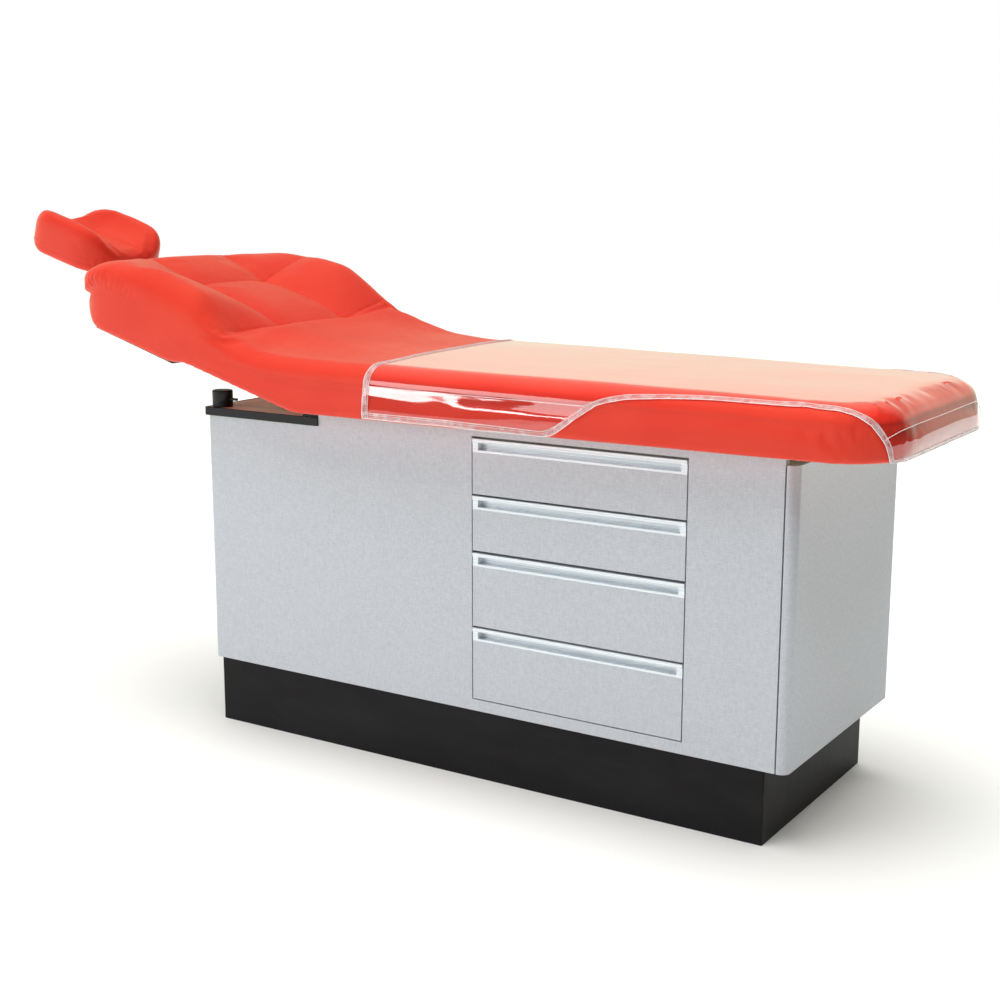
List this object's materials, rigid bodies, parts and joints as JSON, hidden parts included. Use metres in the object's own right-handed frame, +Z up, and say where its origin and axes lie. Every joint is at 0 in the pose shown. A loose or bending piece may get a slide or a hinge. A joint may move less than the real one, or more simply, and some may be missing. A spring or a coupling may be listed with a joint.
{
  "type": "medical exam table",
  "caption": "Cabinet exam table with drawers, an end door and a recessed plinth, a contoured quilted vinyl top with a clear foot cover, a service counter and an adjustable headrest.",
  "frame": {"origin": "centre of the cabinet's footprint, on the floor", "axes": "+X towards the foot end, -Y towards the drawer side, +Z up"},
  "size_m": [2.2472, 0.6644, 1.1181],
  "materials": {
    "plinth_laminate": "black laminate, satin",
    "cabinet_laminate": "pale grey laminate with a fine linen texture",
    "board_core": "melamine-faced particle board",
    "drawer_box_board": "white melamine board",
    "counter_laminate": "light oak woodgrain laminate",
    "black_edging": "satin black",
    "black_panel": "black grained panel",
    "frame_steel": "black powder coat",
    "headrest_steel": "brushed",
    "zinc_fasteners": "zinc plated",
    "hinge_steel": "nickel plated",
    "slide_steel": "zinc plated",
    "handle_profile": "satin white finish",
    "black_plastic": "fine grain",
    "red_upholstery": "coated vinyl upholstery, satin, light grain",
    "clear_cover": "clear glossy vinyl sheet"
  },
  "bodies": {
    "cabinet": {"plinth_front_board": "plinth_laminate", "plinth_rear_board": "plinth_laminate", "plinth_cross_boards": "plinth_laminate", "front_panel": "cabinet_laminate", "back_panel": "cabinet_laminate", "head_end_panel": "cabinet_laminate", "cabinet_floor": "board_core", "drawer_partitions": "board_core", "mounting_cleats": "board_core", "seat_board": "board_core", "back_board": "board_core", "deck_board": "counter_laminate", "counter_edge_trim": "black_edging", "counter_end_block": "black_edging", "back_under_panel": "black_panel", "back_support_arms": "frame_steel", "headrest_bracket": "frame_steel", "arm_screws": "zinc_fasteners", "top_mounting_screws": "zinc_fasteners", "headrest_bracket_screws": "zinc_fasteners", "hinge_screws_fixed": "zinc_fasteners", "door_hinge_fixed_leaves": "hinge_steel", "door_hinge_pins": "hinge_steel", "drawer_slide_outer_members": "slide_steel", "door_catch": "black_plastic", "counter_post": "black_plastic", "main_cushion": "red_upholstery", "foot_cover": "clear_cover"},
    "end_door_leaf": {"end_door": "cabinet_laminate", "door_hinge_moving_leaves": "hinge_steel", "hinge_screws_moving": "zinc_fasteners", "catch_strike": "hinge_steel"},
    "post_cap": {"counter_post_cap": "black_plastic"},
    "clamp_knob": {"headrest_clamp_knob": "black_plastic"},
    "headrest_slide_bar": {"headrest_bar": "headrest_steel"},
    "headrest_arm": {"headrest_link": "headrest_steel", "headrest_pins": "headrest_steel"},
    "lock_lever": {"headrest_lock_lever": "black_plastic"},
    "headrest": {"headrest_plate": "frame_steel", "headrest_pad": "red_upholstery"},
    "drawer_1": {"drawer_front_1": "cabinet_laminate", "drawer_handle_1": "handle_profile", "drawer_box_1": "drawer_box_board", "drawer_slide_inner_1": "slide_steel"},
    "slide_mid_1": {"drawer_slide_mid_1": "slide_steel"},
    "drawer_2": {"drawer_front_2": "cabinet_laminate", "drawer_handle_2": "handle_profile", "drawer_box_2": "drawer_box_board", "drawer_slide_inner_2": "slide_steel"},
    "slide_mid_2": {"drawer_slide_mid_2": "slide_steel"},
    "drawer_3": {"drawer_front_3": "cabinet_laminate", "drawer_handle_3": "handle_profile", "drawer_box_3": "drawer_box_board", "drawer_slide_inner_3": "slide_steel"},
    "slide_mid_3": {"drawer_slide_mid_3": "slide_steel"},
    "drawer_4": {"drawer_front_4": "cabinet_laminate", "drawer_handle_4": "handle_profile", "drawer_box_4": "drawer_box_board", "drawer_slide_inner_4": "slide_steel"},
    "slide_mid_4": {"drawer_slide_mid_4": "slide_steel"}
  },
  "joints": [
    {"name": "drawer_1_slide", "type": "slide", "parent": "cabinet", "child": "drawer_1", "axis": [0, -1, 0], "range_m": [0, 0.35]},
    {"name": "slide_mid_1_travel", "type": "slide", "parent": "cabinet", "child": "slide_mid_1", "axis": [0, -1, 0], "range_m": [0, 0.175]},
    {"name": "drawer_2_slide", "type": "slide", "parent": "cabinet", "child": "drawer_2", "axis": [0, -1, 0], "range_m": [0, 0.35]},
    {"name": "slide_mid_2_travel", "type": "slide", "parent": "cabinet", "child": "slide_mid_2", "axis": [0, -1, 0], "range_m": [0, 0.175]},
    {"name": "drawer_3_slide", "type": "slide", "parent": "cabinet", "child": "drawer_3", "axis": [0, -1, 0], "range_m": [0, 0.35]},
    {"name": "slide_mid_3_travel", "type": "slide", "parent": "cabinet", "child": "slide_mid_3", "axis": [0, -1, 0], "range_m": [0, 0.175]},
    {"name": "drawer_4_slide", "type": "slide", "parent": "cabinet", "child": "drawer_4", "axis": [0, -1, 0], "range_m": [0, 0.35]},
    {"name": "slide_mid_4_travel", "type": "slide", "parent": "cabinet", "child": "slide_mid_4", "axis": [0, -1, 0], "range_m": [0, 0.175]},
    {"name": "end_door_hinge", "type": "hinge", "parent": "cabinet", "child": "end_door_leaf", "pos_m": [0.6535, 0.265, 0.43], "axis": [0, 0, 1], "range_deg": [0, 110]},
    {"name": "headrest_bar_slide", "type": "slide", "parent": "cabinet", "child": "headrest_slide_bar", "axis": [-0.9593, 0, 0.2823], "range_m": [-0.05, 0.07]},
    {"name": "headrest_arm_tilt", "type": "hinge", "parent": "headrest_slide_bar", "child": "headrest_arm", "pos_m": [-1.09456, 0, 0.89695], "axis": [0, 1, 0], "range_deg": [-30, 25]},
    {"name": "headrest_pad_tilt", "type": "hinge", "parent": "headrest_arm", "child": "headrest", "pos_m": [-1.19966, 0, 0.93989], "axis": [0, 1, 0], "range_deg": [-35, 25]},
    {"name": "lock_lever_turn", "type": "hinge", "parent": "headrest_arm", "child": "lock_lever", "pos_m": [-1.09456, 0, 0.89695], "axis": [0, -1, 0], "range_deg": [0, 60]},
    {"name": "clamp_knob_turn", "type": "hinge", "parent": "cabinet", "child": "clamp_knob", "pos_m": [-0.8979, 0.06, 0.83907], "axis": [0, 1, 0], "range_deg": [0, 180]},
    {"name": "post_cap_turn", "type": "hinge", "parent": "cabinet", "child": "post_cap", "pos_m": [-0.65, -0.236, 0.73], "axis": [0, 0, 1], "range_deg": [0, 90]}
  ],
  "couplings": [
    {"joint": "slide_mid_1_travel", "follows": "drawer_1_slide", "ratio": 0.5},
    {"joint": "slide_mid_2_travel", "follows": "drawer_2_slide", "ratio": 0.5},
    {"joint": "slide_mid_3_travel", "follows": "drawer_3_slide", "ratio": 0.5},
    {"joint": "slide_mid_4_travel", "follows": "drawer_4_slide", "ratio": 0.5}
  ]
}
